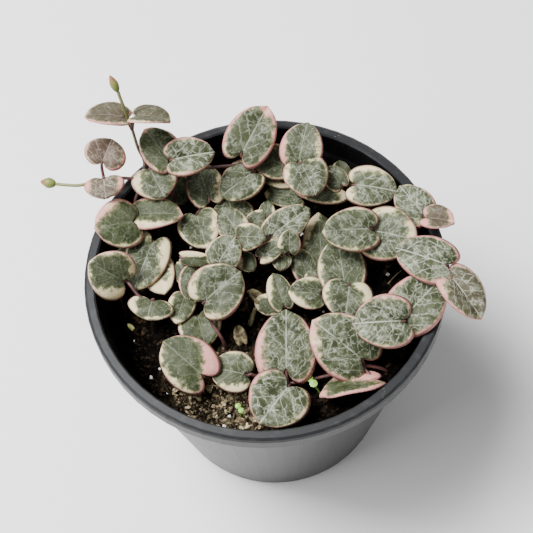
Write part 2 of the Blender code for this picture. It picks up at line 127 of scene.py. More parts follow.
tone = blend(add, ramp(add, blotch, 0.35, 0.7), (0.004, 0.004, 0.0045, 1),
             (0.005, 0.005, 0.0055, 1))
# Painted highlight: the top of the rim is painted lighter than the body, where it faces the light.
tone = blend(add, maths(add, "MULTIPLY", top, 0.75), tone, (0.02, 0.021, 0.023, 1))
tone = blend(add, maths(add, "MULTIPLY", worn, 0.2), tone, (0.075, 0.077, 0.082, 1))
speck = maths(add, "MULTIPLY", ramp(add, grit, 0.09, 0.05), ramp(add, blotch, 0.52, 0.6))
tone = blend(add, maths(add, "MULTIPLY", speck, 0.6), tone, (0.4, 0.38, 0.35, 1))
join(tone, principled.inputs["Base Color"])
join(maths(add, "ADD", maths(add, "MULTIPLY", grain, 0.2), 0.28), principled.inputs["Roughness"])
principled.inputs["Specular IOR Level"].default_value = 0.25
bump = add("ShaderNodeBump", {"Height": grain, "Strength": 0.04, "Distance": 0.2 * MM})
join(bump.outputs[0], principled.inputs["Normal"])
pot.data.materials.clear()
pot.data.materials.append(material)

# Soil: one block of dark peat and bark mix, pressed into the pot. It has shrunk down from the
# wall at the left, and at the front left it is painted pale, a painted pool of light. Its edge
# reaches SOIL_EDGE from the axis, or less where it lies low and the pot is narrower: there it ends
# just in the wall, which is WALL_FOOT from the axis at the pot's foot and WALL_SLOPE further for
# each unit of height.
RIM_RADIUS = 55 * MM
SOIL_DROP = 14 * MM
SOIL_ROUGHNESS = 0.9 * MM
SOIL_TILT = 1.5 * MM
SOIL_EDGE = 48.4 * MM
SOIL_STEPS = 220
SOIL_RINGS = 90
SHRINK_DEPTH = 15 * MM
SHRINK_START = 35 * MM
SHRINK_WIDTH = 13 * MM
SHRINK_SIDE = math.radians(196)
FOOT_EDGE = 36.6 * MM
FOOT_HEIGHT = 1.6 * MM
WALL_FOOT = 36.9 * MM
WALL_SLOPE = 0.17
LIGHT_POOL_SPOT = (-0.018, -0.036, 0.076)


def soil_height(x, y):
    """The soil's surface: gentle relief, higher to the right."""
    relief = noise.noise(Vector((x, y, 0)) / (11 * MM))
    relief += noise.noise(Vector((x, y, MM)) / (5 * MM)) / 2
    return POT_HEIGHT - SOIL_DROP + SOIL_ROUGHNESS * relief + SOIL_TILT * x / RIM_RADIUS


def shrunk(x, y):
    """How far the soil has shrunk down from the wall at the left."""
    leftness = max(0, min(1, (math.cos(math.atan2(y, x) - SHRINK_SIDE) - 0.45) / 0.4))
    near = max(0, min(1, (math.hypot(x, y) - SHRINK_START) / SHRINK_WIDTH))
    return SHRINK_DEPTH * leftness * leftness * (3 - 2 * leftness) * near * near


def crumbs(x, y):
    """The height of the soil's grain, made by two layers of noise."""
    fine = noise.fractal(Vector((x, y, 0)) / (1.7 * MM), 0.8, 2.1, 4)
    lumps = noise.turbulence(Vector((x, y, 3 * MM)) / (3.2 * MM), 3, True)
    return 0.34 * MM * fine + 0.7 * MM * (lumps - 0.5)


work = bmesh.new()
rows = []
for ring in range(1, SOIL_RINGS + 1):
    radius = SOIL_EDGE * ring / SOIL_RINGS
    row = []
    for step in range(SOIL_STEPS):
        angle = math.tau * step / SOIL_STEPS
        x = radius * math.cos(angle)
        y = radius * math.sin(angle)
        z = soil_height(x, y) + crumbs(x, y) - shrunk(x, y)
        snug = min(1, (WALL_FOOT + WALL_SLOPE * z) / radius)
        row.append(work.verts.new((x * snug, y * snug, z)))
    rows.append(row)
narrowed = FOOT_EDGE / SOIL_EDGE
rows.append([work.verts.new((vert.co.x * narrowed, vert.co.y * narrowed, FOOT_HEIGHT))
             for vert in rows[-1]])
for inner, outer in zip(rows, rows[1:]):
    for i in range(SOIL_STEPS):
        j = (i + 1) % SOIL_STEPS
        work.faces.new((inner[i], outer[i], outer[j], inner[j]))
middle = work.verts.new((0, 0, soil_height(0, 0)))
bottom = work.verts.new((0, 0, FOOT_HEIGHT))
for i in range(SOIL_STEPS):
    j = (i + 1) % SOIL_STEPS
    work.faces.new((middle, rows[0][i], rows[0][j]))
    work.faces.new((bottom, rows[-1][j], rows[-1][i]))
mesh = bpy.data.meshes.new("soil_top")
work.to_mesh(mesh)
work.free()
mesh.shade_smooth()
soil = bpy.data.objects.new("soil_top", mesh)
bpy.context.scene.collection.objects.link(soil)
material, add, join, principled = shader("potting mix", 0.9)
place = add("ShaderNodeTexCoord").outputs["Object"]
lumps = add("ShaderNodeTexNoise", {
    "Vector": place, "Scale": 420, "Detail": 6, "Roughness": 0.7}).outputs[0]
fine_grain_noise = add("ShaderNodeTexNoise", {"Vector": place, "Scale": 2200, "Detail": 2}).outputs[0]
# Painted pool of light: near a spot at the front left the soil is painted pale, where light falls on it.
away = add("ShaderNodeVectorMath", {0: place, 1: LIGHT_POOL_SPOT}, operation="DISTANCE").outputs["Value"]
painted_light_pool = ramp(add, away, 26 * MM, 12 * MM)
dark = blend(add, ramp(add, lumps, 0.4, 0.8), (0.0012, 0.001, 0.0008, 1), (0.011, 0.0075, 0.005, 1))
pale = blend(add, ramp(add, fine_grain_noise, 0.35, 0.65), (0.008, 0.006, 0.003, 1), (0.13, 0.1, 0.06, 1))
painted_light_mask = maths(add, "MULTIPLY", painted_light_pool, ramp(add, lumps, 0.38, 0.62))
tone = blend(add, painted_light_mask, dark, pale)
join(tone, principled.inputs["Base Color"])
relief = maths(add, "ADD", lumps, maths(add, "MULTIPLY", fine_grain_noise, 0.5))
bump = add("ShaderNodeBump", {"Height": relief, "Strength": 1.0, "Distance": 0.8 * MM})
join(bump.outputs[0], principled.inputs["Normal"])
principled.inputs["Specular IOR Level"].default_value = 0.03
soil.data.materials.append(material)
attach(soil, "root")
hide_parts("soil")

# Loose bits on the soil: peat crumbs all over, bark chips, pale perlite and, at the front left,
# grit and flakes painted pale, a painted pool of light on the loose bits there. They lie where they fell.
SCATTER_EDGE = 47 * MM


def scatter(name, tones, subdivisions, sizes, squash, density, seed, spot=None):
    """Loose bits strewn by Geometry Nodes, density to a square metre, over the soil or a spot."""
    material, add, join, principled = shader(name, 0.85)
    place = add("ShaderNodeTexCoord").outputs["Object"]
    varied = add("ShaderNodeTexNoise", {"Vector": place, "Scale": 600, "Detail": 4}).outputs[0]
    join(blend(add, ramp(add, varied, 0.35, 0.65), *tones), principled.inputs["Base Color"])
    bump = add("ShaderNodeBump", {"Height": varied, "Strength": 0.5, "Distance": 0.4 * MM})
    join(bump.outputs[0], principled.inputs["Normal"])
    principled.inputs["Specular IOR Level"].default_value = 0.05

    group = bpy.data.node_groups.new(name, "GeometryNodeTree")
    group.interface.new_socket("Geometry", in_out="INPUT", socket_type="NodeSocketGeometry")
    for label, value in (("Density", density), ("Smallest", sizes[0]), ("Largest", sizes[1])):
        socket = group.interface.new_socket(label, in_out="INPUT", socket_type="NodeSocketFloat")
        socket.default_value = value
    group.interface.new_socket("Geometry", in_out="OUTPUT", socket_type="NodeSocketGeometry")
    add = adder(group)
    enter = add("NodeGroupInput").outputs
    normal = add("ShaderNodeSeparateXYZ", {0: add("GeometryNodeInputNormal").outputs[0]})
    upward = maths(add, "GREATER_THAN", normal.outputs["Z"], 0.3)
    position = add("GeometryNodeInputPosition").outputs[0]
    level = add("ShaderNodeVectorMath", {0: position, 1: (1, 1, 0)}, operation="MULTIPLY").outputs[0]
    reach = add("ShaderNodeVectorMath", {0: level}, operation="LENGTH").outputs["Value"]
    clear = maths(add, "LESS_THAN", reach, SCATTER_EDGE - sizes[1])
    chosen = maths(add, "MULTIPLY", upward, clear)
    if spot:
        middle, radius = spot
        near = add("ShaderNodeVectorMath", {0: position, 1: middle}, operation="DISTANCE").outputs["Value"]
        chosen = maths(add, "MULTIPLY", chosen, maths(add, "LESS_THAN", near, radius))
    strewn = add("GeometryNodeDistributePointsOnFaces", {
        "Mesh": enter["Geometry"], "Selection": chosen, "Density": enter["Density"], "Seed": seed})
    ball = add("GeometryNodeMeshIcoSphere", {"Subdivisions": subdivisions, "Radius": 1})
    lump = add("ShaderNodeTexNoise", {"Scale": 1.1}).outputs["Color"]
    offset = add("ShaderNodeVectorMath", {0: lump, 1: (0.5, 0.5, 0.5)}, operation="SUBTRACT")
    shape = add("GeometryNodeSetPosition", {
        "Geometry": ball.outputs["Mesh"], "Offset": offset.outputs[0]})
    turn = add("FunctionNodeRandomValue", {
        0: (-0.4, -0.4, 0), 1: (0.4, 0.4, math.tau), "Seed": seed + 1}, data_type="FLOAT_VECTOR")
    size = add("FunctionNodeRandomValue", {
        2: enter["Smallest"], 3: enter["Largest"], "Seed": seed + 2})
    stretch = add("ShaderNodeVectorMath", {0: squash, "Scale": size.outputs[1]}, operation="SCALE")
    placed = add("GeometryNodeInstanceOnPoints", {
        "Points": strewn.outputs["Points"], "Instance": shape.outputs["Geometry"],
        "Rotation": turn.outputs[0], "Scale": stretch.outputs[0]})
    real = add("GeometryNodeRealizeInstances", {0: placed.outputs["Instances"]})
    dyed = add("GeometryNodeSetMaterial", {"Geometry": real.outputs[0], "Material": material})
    add("NodeGroupOutput", {0: dyed.outputs[0]})

    strew = soil.modifiers.new(name, "NODES")
    strew.node_group = group
    for item in group.interface.items_tree:
        if item.in_out == "INPUT" and item.name in ("Density", "Smallest", "Largest"):
            strew[item.identifier] = item.default_value
    graph = bpy.context.evaluated_depsgraph_get()
    mesh = bpy.data.meshes.new_from_object(soil.evaluated_get(graph), depsgraph=graph)
    soil.modifiers.remove(strew)
    mesh.name = name
    mesh.materials.clear()
    mesh.materials.append(material)
    bits = bpy.data.objects.new(name, mesh)
    bpy.context.scene.collection.objects.link(bits)
    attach(bits, "root")


scatter("peat_crumbs", ((0.0015, 0.0012, 0.001, 1), (0.02, 0.013, 0.008, 1)), subdivisions=1,
        sizes=(0.25 * MM, 0.75 * MM), squash=(1, 1, 0.7), density=420000, seed=3)
scatter("bark_chips", ((0.008, 0.005, 0.003, 1), (0.06, 0.034, 0.018, 1)), subdivisions=2,
        sizes=(0.5 * MM, 1.3 * MM), squash=(1.5, 0.8, 0.4), density=14000, seed=11)
scatter("perlite", ((0.5, 0.48, 0.44, 1), (0.75, 0.73, 0.69, 1)), subdivisions=2,
        sizes=(0.35 * MM, 0.8 * MM), squash=(1, 0.9, 0.8), density=6000, seed=29)
# Painted pool of light: grit and flakes in pale tones, strewn only at the front left where the soil is
# painted pale.
scatter("grit_painted_light", ((0.012, 0.009, 0.005, 1), (0.22, 0.17, 0.1, 1)), subdivisions=1,
        sizes=(0.2 * MM, 0.7 * MM), squash=(1.2, 1, 0.7), density=800000, seed=41,
        spot=((-0.017, -0.036, 0.076), 17 * MM))
scatter("flakes_painted_light", ((0.05, 0.035, 0.02, 1), (0.5, 0.42, 0.26, 1)), subdivisions=2,
        sizes=(0.35 * MM, 0.95 * MM), squash=(1.5, 1, 0.35), density=90000, seed=57,
        spot=((-0.018, -0.037, 0.076), 16 * MM))

# Leafy stems: each grew out of the soil as one piece, a thin purple-brown stem with pairs of
# fleshy heart-shaped leaves on short stalks, some of them with a bud at the tip. HEART is one
# half of a blade's outline from the notch to the tip, in half widths and lengths.
HEART = ((0.0, 0.0), (0.2, -0.19), (0.52, -0.25), (0.84, -0.1), (1.0, 0.2),
         (0.9, 0.53), (0.54, 0.84), (0.0, 1.0))
COMPASS = {"N": (0, 1), "NE": (0.7, 0.7), "E": (1, 0), "SE": (0.7, -0.7),
           "S": (0, -1), "SW": (-0.7, -0.7), "W": (-1, 0), "NW": (-0.7, 0.7)}
BLADE = 1.0 * MM
BLADE_ARCH = 0.2
BLADE_SPANS = 9
PATCH_EDGE = 0.88
STEM_RADIUS = 0.6 * MM
STALK_RADIUS = 0.52 * MM
TUBE_SIDES = 10
ROOT_DEPTH = 7 * MM

# A leaf has its stem's point, the picture points of its notch and tip, their heights over the
# rim and its width in mm, its roll in degrees and its fold. Its marks are pale patches, each a
# compass side in the picture, a reach and a pinkness. The last three are its silver veins, its
# darkness, which is painted shade on leaves that lie in shade (on a withered leaf it marks the one
# still green), and its purple, from 0 to 1. A stem's points are picture points and their heights.
Leaf = namedtuple("Leaf", "node base tip low high width roll fold marks silver dark purple")
Bud = namedtuple("Bud", "tip height radius")
Vine = namedtuple("Vine", "stem leaves bud", defaults=(None,))
VINES = {
    "shoot_back_left": Vine(
        stem=((152, 240, -14), (140, 224, -7), (135, 204, -4), (139, 190, -2), (142, 181, 0.1),
              (144, 171, 1.8), (144, 160, 3.4), (138, 148, 6), (132, 129, 16), (124, 108, 25),
              (118, 92, 30)),
        leaves=(Leaf(8, (122, 118), (84, 117), 21, 22, 12.5, 36, 0.3,
                     (("NW", 0.2, 0.9), ("W", 0.2, 0.9)), 0.5, 0.1, 0.25),
                Leaf(8, (138, 117), (171, 122), 21, 21, 11.8, -40, 0.3,
                     (("E", 0.15, 0.6),), 0.5, 0.0, 0.15),
                Leaf(2, (132, 222), (94, 229), 0.4, 3.4, 16.2, 0, 0.1,
                     (("NW", 0.4, 0.75), ("W", 0.25, 0.9), ("S", 0.12, 0.4)), 0.35, 0.6, 0),
                Leaf(2, (139, 215), (184, 216), -1.2, -1, 12, -18, 0.26,
                     (("N", 0.2, 0.8), ("S", 0.5, 0.55), ("E", 0.2, 0.9)), 0.35, 0.4, 0)),
        bud=Bud((111, 78), 34, 1.3)),
    "shoot_left": Vine(
        stem=((185, 205, -14), (174, 196, -8), (158, 187, -2.6), (143, 180, 1.8),
              (120, 178, 4), (104, 179, 4.6), (82, 185, 4.6), (66, 185, 4.2), (56, 184, 4)),
        leaves=(Leaf(5, (103, 161), (112, 139), 10, 11.5, 13.2, 8, 0.2,
                     (("N", 0.2, 1), ("E", 0.15, 0.9)), 0.7, 0, 0.45),
                Leaf(5, (104, 180), (106, 199), 8.2, 7.2, 12.6, 0, 0.05,
                     (("E", 0.3, 0.95), ("W", 0.2, 0.95)), 0.9, 0, 0.35),
                Leaf(2, (151, 171), (165, 198), 3.9, 3.2, 15, 0, 0.08,
                     (("W", 0.35, 0.4), ("E", 0.22, 0.6), ("N", 0.2, 0.3)), 0.6, 0.2, 0),
                Leaf(1, (172, 184), (185, 204), -8, -10.5, 11, 0, 0.1, (("S", 0.2, 0.3),), 0.4, 0.4, 0)),
        bud=Bud((43, 182), 4, 1.7)),
    "vine_back": Vine(
        stem=((236, 202, -14), (246, 184, -8), (252, 166, 0), (228, 166, 1.4),
              (204, 168, 2.4), (185, 166, 6), (171, 160, 8)),
        leaves=(Leaf(2, (243, 151), (268, 106), 6, 10, 15.6, 6, 0.14,
                     (("E", 0.3, 0.85), ("NE", 0.34, 0.9), ("N", 0.2, 0.9)), 0.75, 0.3, 0),
                Leaf(2, (251, 174), (221, 197), 0, -3, 13, 0, 0.12, (("S", 0.25, 0.35),), 0.7, 0.2, 0),
                Leaf(6, (168, 159), (144, 129), 8, 10, 12.5, 0, 0.1,
                     (("NW", 0.25, 0.9), ("N", 0.25, 0.8)), 0.4, 0.9, 0),
                Leaf(6, (175, 159), (215, 152), 10.8, 10.8, 12.2, 8, 0.24,
                     (("N", 0.14, 0.7), ("S", 0.14, 0.6)), 1, 0.6, 0))),
    "vine_under_back": Vine(
        stem=((298, 200, -14), (290, 180, -8.5), (289, 169, -5)),
        leaves=(Leaf(2, (284, 165), (251, 155), -1.8, -1, 12, 0, 0.16, (("W", 0.22, 0.5),), 0.5, 0.4, 0),
                Leaf(2, (289, 176), (256, 169), -5, -5.5, 9.5, -10, 0.1,
                     (("S", 0.3, 0.2),), 0.5, 0.5, 0),
                Leaf(1, (297, 197), (264, 194), -9, -10, 8.5, 0, 0.2, (("W", 0.3, 0.1),), 0.5, 0.5, 0))),
    "vine_back_pair": Vine(
        stem=((318, 188, -14), (308, 174, -6), (300, 164, 1)),
        leaves=(Leaf(2, (299, 160), (308, 122), 3.5, 9, 14, -8, 0.16,
                     (("W", 0.24, 0.9), ("E", 0.3, 0.5)), 0.7, 0.1, 0),
                Leaf(2, (302, 165), (316, 196), 4.5, 3, 14.2, 0, 0.08,
                     (("N", 0.2, 0.4), ("W", 0.16, 0.5)), 0.8, 0.1, 0))),
    "vine_back_right": Vine(
        stem=((352, 204, -14), (344, 194, -9), (342, 187, -6.5)),
        leaves=(Leaf(2, (338, 188), (291, 186), -3.6, -3, 11.5, 0, 0.14,
                     (("E", 0.25, 0.3),), 0.5, 0.3, 0),
                Leaf(2, (340, 184), (326, 167), -2.2, -1.5, 8, 0, 0.1, (("N", 0.2, 0.3),), 0.6, 0.1, 0),
                Leaf(2, (342, 184), (339, 160), -7.5, -5, 7.5, 0, 0.16,
                     (("W", 0.5, 0.25),), 0.3, 0.1, 0))),
    "vine_right_back": Vine(
        stem=((372, 214, -14), (362, 196, -7), (355, 186, -3)),
        leaves=(Leaf(2, (357, 185), (398, 192), 0.5, 0, 13.6, 0, 0.16,
                     (("N", 0.25, 0.15), ("W", 0.2, 0.3)), 0.85, 0.1, 0),)),
    "vine_rim_right": Vine(
        stem=((396, 238, -14), (406, 230, -7), (416, 222, -1), (426, 217, 1.5)),
        leaves=(Leaf(3, (422, 214), (399, 186), 2.2, 1.6, 12, 0, 0.06,
                     (("N", 0.3, 0.6), ("SE", 0.2, 0.7)), 1, 0.1, 0),
                Leaf(3, (428, 219), (455, 224), 5, 6, 9.5, -20, 0.5,
                     (("E", 0.5, 0.85), ("W", 0.35, 0.85)), 0.5, 0, 0.3))),
    "vine_right_pair": Vine(
        stem=((372, 252, -14), (370, 240, -6), (370, 231, 0)),
        leaves=(Leaf(2, (368, 229), (322, 232), 6.5, 6, 14, 0, 0.12,
                     (("S", 0.16, 0.4), ("W", 0.14, 0.4)), 0.7, 0.2, 0),
                Leaf(2, (373, 231), (418, 241), 3, 4.6, 17.5, 0, 0.08,
                     (("E", 0.42, 0.6), ("N", 0.2, 0.3)), 0.8, 0.1, 0))),
    "vine_rim_low": Vine(
        stem=((398, 262, -14), (414, 262, -7), (432, 266, 0), (446, 271, 5)),
        leaves=(Leaf(3, (444, 264), (395, 248), 9, 9, 14.4, 0, 0.06,
                     (("NW", 0.16, 0.7), ("S", 0.1, 0.9)), 1, 0.2, 0),
                Leaf(3, (452, 279), (481, 320), 6.5, 2.5, 12.5, -12, 0.3,
                     (("S", 0.2, 0.9), ("W", 0.22, 0.8)), 0.95, 0.1, 0.15))),
    "vine_low_right": Vine(
        stem=((396, 302, -14), (400, 310, -7), (403, 318, -1)),
        leaves=(Leaf(2, (405, 316), (442, 277), 2.4, 4.8, 16.6, 0, 0.1,
                     (("NW", 0.26, 0.9), ("E", 0.14, 0.9)), 0.9, 0.5, 0),
                Leaf(2, (401, 321), (352, 324), 4, 4, 16.2, 0, 0.18,
                     (("N", 0.14, 0.7), ("S", 0.1, 0.6)), 1, 0.2, 0))),
    "vine_left": Vine(
        stem=((122, 300, -14), (120, 290, -9), (126, 281, -3.6), (138, 295, -5), (150, 302, -6)),
        leaves=(Leaf(2, (122, 280), (89, 262), -1.5, 5.5, 15.4, -6, 0.2,
                     (("N", 0.26, 0.5), ("W", 0.26, 0.35), ("S", 0.36, 0.35), ("E", 0.22, 0.4)),
                     0.4, 0.3, 0),
                Leaf(4, (152, 302), (147, 320), -5.4, -6, 14.4, 0, 0.02,
                     (("W", 0.36, 0.2), ("S", 0.32, 0.3)), 0.5, 0.2, 0))),
    "vine_left_inner": Vine(
        stem=((164, 262, -14), (158, 252, -9), (154, 246, -6)),
        leaves=(Leaf(2, (152, 244), (134, 291), -4.8, -7, 14.2, 0, 0.06,
                     (("N", 0.2, 0.3), ("E", 0.34, 0.2), ("S", 0.2, 0.2)), 0.7, 0.0, 0),
                Leaf(1, (154, 262), (165, 295), -8, -9, 11.5, 0, 0.06,
                     (("S", 0.7, 0.2), ("E", 0.4, 0.3)), 0.3, 0.0, 0),
                Leaf(2, (136, 262), (113, 254), -7.6, -6.4, 8, 0, 0.1, (("S", 0.9, 0.3),), 0.3, 0, 0))),
    "vine_low_left": Vine(
        stem=((200, 296, -14), (196, 284, -10), (195, 272, -8)),
        leaves=(Leaf(2, (196, 272), (189, 301), -7.3, -8.2, 9.5, 0, 0.1,
                     (("E", 0.25, 0.2),), 0.5, 0.3, 0),
                Leaf(1, (188, 280), (177, 262), -9.2, -8.4, 6.4, 0, 0.08,
                     (("N", 0.3, 0.2),), 0.5, 0.1, 0),
                Leaf(1, (184, 298), (176, 324), -8.6, -8.8, 8.6, 0, 0.1,
                     (("W", 0.4, 0.3), ("S", 0.3, 0.3)), 0.5, 0.4, 0))),
    "vine_over_soil": Vine(
        stem=((226, 348, -14), (221, 337, -9), (210, 320, -6), (205, 303, -3)),
        leaves=(Leaf(3, (206, 300), (241, 271), -1.5, 2.2, 17.2, 0, 0.16,
                     (("W", 0.18, 0.3), ("NW", 0.16, 0.3), ("S", 0.12, 0.4)), 0.65, 0.1, 0),)),
    "vine_dark": Vine(
        stem=((196, 334, -14), (196, 328, -12.6), (197, 322, -11.6)),
        leaves=(Leaf(2, (198, 318), (206, 348), -10.6, -11.2, 13.4, 0, 0.16,
                     (("S", 0.2, 0.2),), 0.4, 0.8, 0),)),
    "leaf_front_left": Vine(
        stem=((214, 381, -14), (210, 379, -11.6), (204, 376, -9.6)),
        leaves=(Leaf(2, (201, 374), (163, 341), -7.4, -5, 16.2, 0, 0.1,
                     (("W", 0.3, 0.35), ("SW", 0.32, 0.4), ("E", 0.42, 0.95), ("NE", 0.3, 0.8),
                      ("N", 0.16, 0.7)), 0.4, 0.7, 0),)),
    "leaf_front": Vine(
        stem=((262, 378, -14), (256, 376, -11), (250, 374, -9.8)),
        leaves=(Leaf(2, (244, 374), (210, 367), -9.4, -10.4, 12.6, 0, 0.16,
                     (("S", 0.28, 0.35), ("N", 0.14, 0.2)), 0.6, 0.5, 0),)),
    "vine_mid_left": Vine(
        stem=((214, 222, -14), (206, 212, -11), (204, 206, -9)),
        leaves=(Leaf(2, (208, 196), (197, 163), -6.5, -6.6, 12.6, 0, 0.1,
                     (("E", 0.3, 0.2),), 0.6, 0.2, 0),
                Leaf(2, (197, 217), (207, 249), -4.6, -5.6, 14, 0, 0.12,
                     (("E", 0.45, 0.12), ("S", 0.3, 0.1)), 0.6, 0.2, 0))),
    "rosette": Vine(
        stem=((245, 252, -14), (243, 244, -8), (240, 238, -4), (238, 262, -7)),
        leaves=(Leaf(2, (238, 234), (221, 208), -1.6, -0.6, 10, 0, 0.14,
                     (("E", 0.25, 0.2),), 0.7, 0.3, 0),
                Leaf(2, (240, 237), (266, 238), -0.6, 0.6, 9.2, 0, 0.16,
                     (("N", 0.2, 0.3),), 0.7, 0.2, 0),
                Leaf(1, (250, 229), (263, 210), -5, -3.6, 6.4, 0, 0.1, (("N", 0.35, 0.2),), 0.6, 0.1, 0),
                Leaf(3, (219, 262), (236, 236), -3, 1.4, 11.2, 0, 0.1,
                     (("N", 0.15, 0.3), ("E", 0.2, 0.2)), 0.9, 0.1, 0),
                Leaf(3, (186, 258), (216, 260), -4, -4, 5, 30, 0.1, (("N", 0.5, 0.2),), 0.3, 0, 0),
                Leaf(3, (243, 258), (254, 271), -7, -7.4, 6.4, 0, 0.1, (("W", 0.5, 0.15),), 0.3, 0, 0))),
    "vine_shaded": Vine(
        stem=((252, 232, -14), (246, 224, -11), (244, 220, -9.5)),
        leaves=(Leaf(2, (234, 222), (228, 197), -9.4, -9.2, 14.4, 0, 0.06,
                     (("N", 0.25, 0.15), ("W", 0.2, 0.15)), 0.6, 0.1, 0),
                Leaf(2, (266, 224), (268, 200), -8.6, -6.6, 6.2, 0, 0.12,
                     (("E", 0.35, 0.2),), 0.5, 0.1, 0),
                Leaf(1, (262, 232), (271, 243), -9.6, -9.6, 4, 0, 0.1, (("N", 0.6, 0.2),), 0.3, 0, 0))),
    "vine_centre": Vine(
        stem=((290, 262, -14), (284, 256, -9), (276, 246, -7)),
        leaves=(Leaf(2, (274, 234), (310, 208), -4, -1, 11, 0, 0.2,
                     (("S", 0.25, 0.2), ("N", 0.16, 0.3)), 0.9, 0.2, 0),
                Leaf(1, (289, 250), (290, 229), -4, 0.4, 7.4, 0, 0.12, (("W", 0.3, 0.2),), 0.7, 0.1, 0),
                Leaf(2, (263, 256), (285, 242), -5, -3, 6.4, 0, 0.14, (("S", 0.3, 0.2),), 0.7, 0.1, 0),
                Leaf(1, (282, 257), (281, 271), -7.4, -7.8, 6.4, 0, 0.1,
                     (("N", 0.3, 0.2),), 0.5, 0.2, 0))),
    "vine_mid_right": Vine(
        stem=((352, 306, -14), (350, 294, -8), (348, 285, -6)),
        leaves=(Leaf(2, (344, 282), (337, 238), -4.4, -2.6, 15, 0, 0.08,
                     (("N", 0.2, 0.15), ("W", 0.15, 0.2)), 0.6, 0.4, 0),
                Leaf(2, (349, 287), (345, 320), -3.6, -5, 15.6, 0, 0.06,
                     (("E", 0.34, 0.2), ("NE", 0.28, 0.2), ("W", 0.2, 0.3)), 0.7, 0, 0))),
    "vine_shaded_right": Vine(
        stem=((318, 286, -14), (312, 280, -12), (308, 276, -11)),
        leaves=(Leaf(2, (306, 274), (298, 248), -11, -10, 8, 0, 0.1, (("N", 0.4, 0.15),), 0.5, 0.1, 0),
                Leaf(1, (322, 268), (318, 212), -11, -9.6, 12, 0, 0.06,
                     (("NW", 0.45, 0.3), ("E", 0.3, 0.3)), 0.4, 0.2, 0))),
    "vine_mid": Vine(
        stem=((330, 300, -14), (322, 296, -9), (301, 302, -10), (280, 306, -10)),
        leaves=(Leaf(1, (319, 294), (288, 292), -6.4, -5, 10.4, 0, 0.14,
                     (("SW", 0.5, 0.3), ("N", 0.2, 0.3)), 0.6, 0.1, 0),
                Leaf(1, (318, 287), (309, 270), -8, -7, 7, 0, 0.1, (("W", 0.35, 0.3),), 0.5, 0.2, 0),
                Leaf(3, (283, 303), (273, 273), -7.4, -5.4, 8.2, 0, 0.14,
                     (("W", 0.5, 0.15),), 0.5, 0.1, 0),
                Leaf(3, (274, 306), (254, 301), -8.6, -8.4, 7, 0, 0.14,
                     (("W", 0.5, 0.3), ("N", 0.4, 0.2)), 0.4, 0.3, 0))),
    "vine_front": Vine(
        stem=((386, 372, -14), (362, 366, -9), (326, 376, -10), (288, 384, -9)),
        leaves=(Leaf(3, (286, 368), (286, 309), -6, -3, 18.4, 0, 0.1,
                     (("W", 0.22, 0.85), ("NE", 0.16, 0.8), ("E", 0.1, 0.9)), 0.8, 0.6, 0),
                Leaf(3, (287, 388), (259, 424), -4, -3.2, 18.4, 0, 0.1,
                     (("SW", 0.12, 1), ("SE", 0.2, 0.4)), 1, 0.3, 0),
                Leaf(1, (360, 358), (312, 320), -5, -0.6, 19, 0, 0.08,
                     (("W", 0.42, 0.75), ("N", 0.16, 0.5)), 0.85, 0.5, 0),
                Leaf(1, (371, 381), (319, 397), -7.4, -8.4, 14, 58, 0.2,
                     (("N", 0.7, 0.9), ("W", 0.3, 0.9)), 0.3, 1, 0))),
}


def seen(u, v, height):
    """The point at this height over the rim, in mm, that the photo shows at pixel (u, v)."""
    ray = right * ((u - RIM_CENTRE_PX[0]) / FOCAL_PX)
    ray -= up * ((v - RIM_CENTRE_PX[1]) / FOCAL_PX) + back
    return eye + ray * ((POT_HEIGHT + height * MM - eye.z) / ray.z)


def smooth_line(points, parts):
    """Points of a smooth curve through the given ones, with this many parts to each span."""
    ends = [2 * points[0] - points[1], *points, 2 * points[-1] - points[-2]]
    line = []
    for a, b, c, d in zip(ends, ends[1:], ends[2:], ends[3:]):
        for i in range(parts):
            t = i / parts
            line.append(0.5 * (2 * b + (c - a) * t + (2 * a - 5 * b + 4 * c - d) * t * t
                               + (3 * b - a - 3 * c + d) * t ** 3))
    return [*line, points[-1]]


def leaf_frame(leaf):
    """A leaf's stalk point, its length, and its axes: across, along and out of the blade."""
    base = seen(*leaf.base, leaf.low)
    tip = seen(*leaf.tip, leaf.high)
    along = (tip - base).normalized()
    facing = Vector((0, -0.3, 1))
    normal = (facing - along * facing.dot(along)).normalized()
    normal = Matrix.Rotation(math.radians(leaf.roll), 3, along) @ normal
    return base, (tip - base).length, along.cross(normal), along, normal


def blade_point(leaf, placing, across, along):
    """A point of the blade's middle surface, across in half widths and along in lengths."""
    base, length, side, forward, normal = placing
    half = leaf.width * MM / 2
    fold = half * leaf.fold * abs(across) * (2 - 1.1 * abs(across))
    arch = length * BLADE_ARCH * along * (1 - along)
    return base + side * (half * across) + forward * (length * along) + normal * (fold + arch)


def tube(work, layers, points, radius, taper, thick, fresh=0):
    """A round closed tube in the bmesh along the points, thicker at both ends."""
    rings = []
    side = Vector((0.3, 0.2, 1)).cross(points[1] - points[0]).normalized()
    for i, point in enumerate(points):
        ahead = points[min(i + 1, len(points) - 1)] - points[max(i - 1, 0)]
        ahead.normalize()
        side = (side - ahead * side.dot(ahead)).normalized()
        over = ahead.cross(side)
        part = i / (len(points) - 1)
        size = radius * (1 + (taper - 1) * part) * (1 + 0.08 * noise.noise(point / (2 * MM)))
        size *= 1 + thick * max(0, 1 - 7 * part) + thick * max(0, 7 * part - 6)
        ring = []
        for k in range(TUBE_SIDES):
            angle = math.tau * k / TUBE_SIDES
            vert = work.verts.new(point + (side * math.cos(angle) + over * math.sin(angle)) * size)
            vert[layers["kind"]] = Vector((part, fresh, 0))
            ring.append(vert)
        rings.append(ring)
    for near, far in zip(rings, rings[1:]):
        for k in range(TUBE_SIDES):
            j = (k + 1) % TUBE_SIDES
            work.faces.new((near[k], near[j], far[j], far[k])).material_index = 1
    work.faces.new(list(reversed(rings[0]))).material_index = 1
    work.faces.new(rings[-1]).material_index = 1


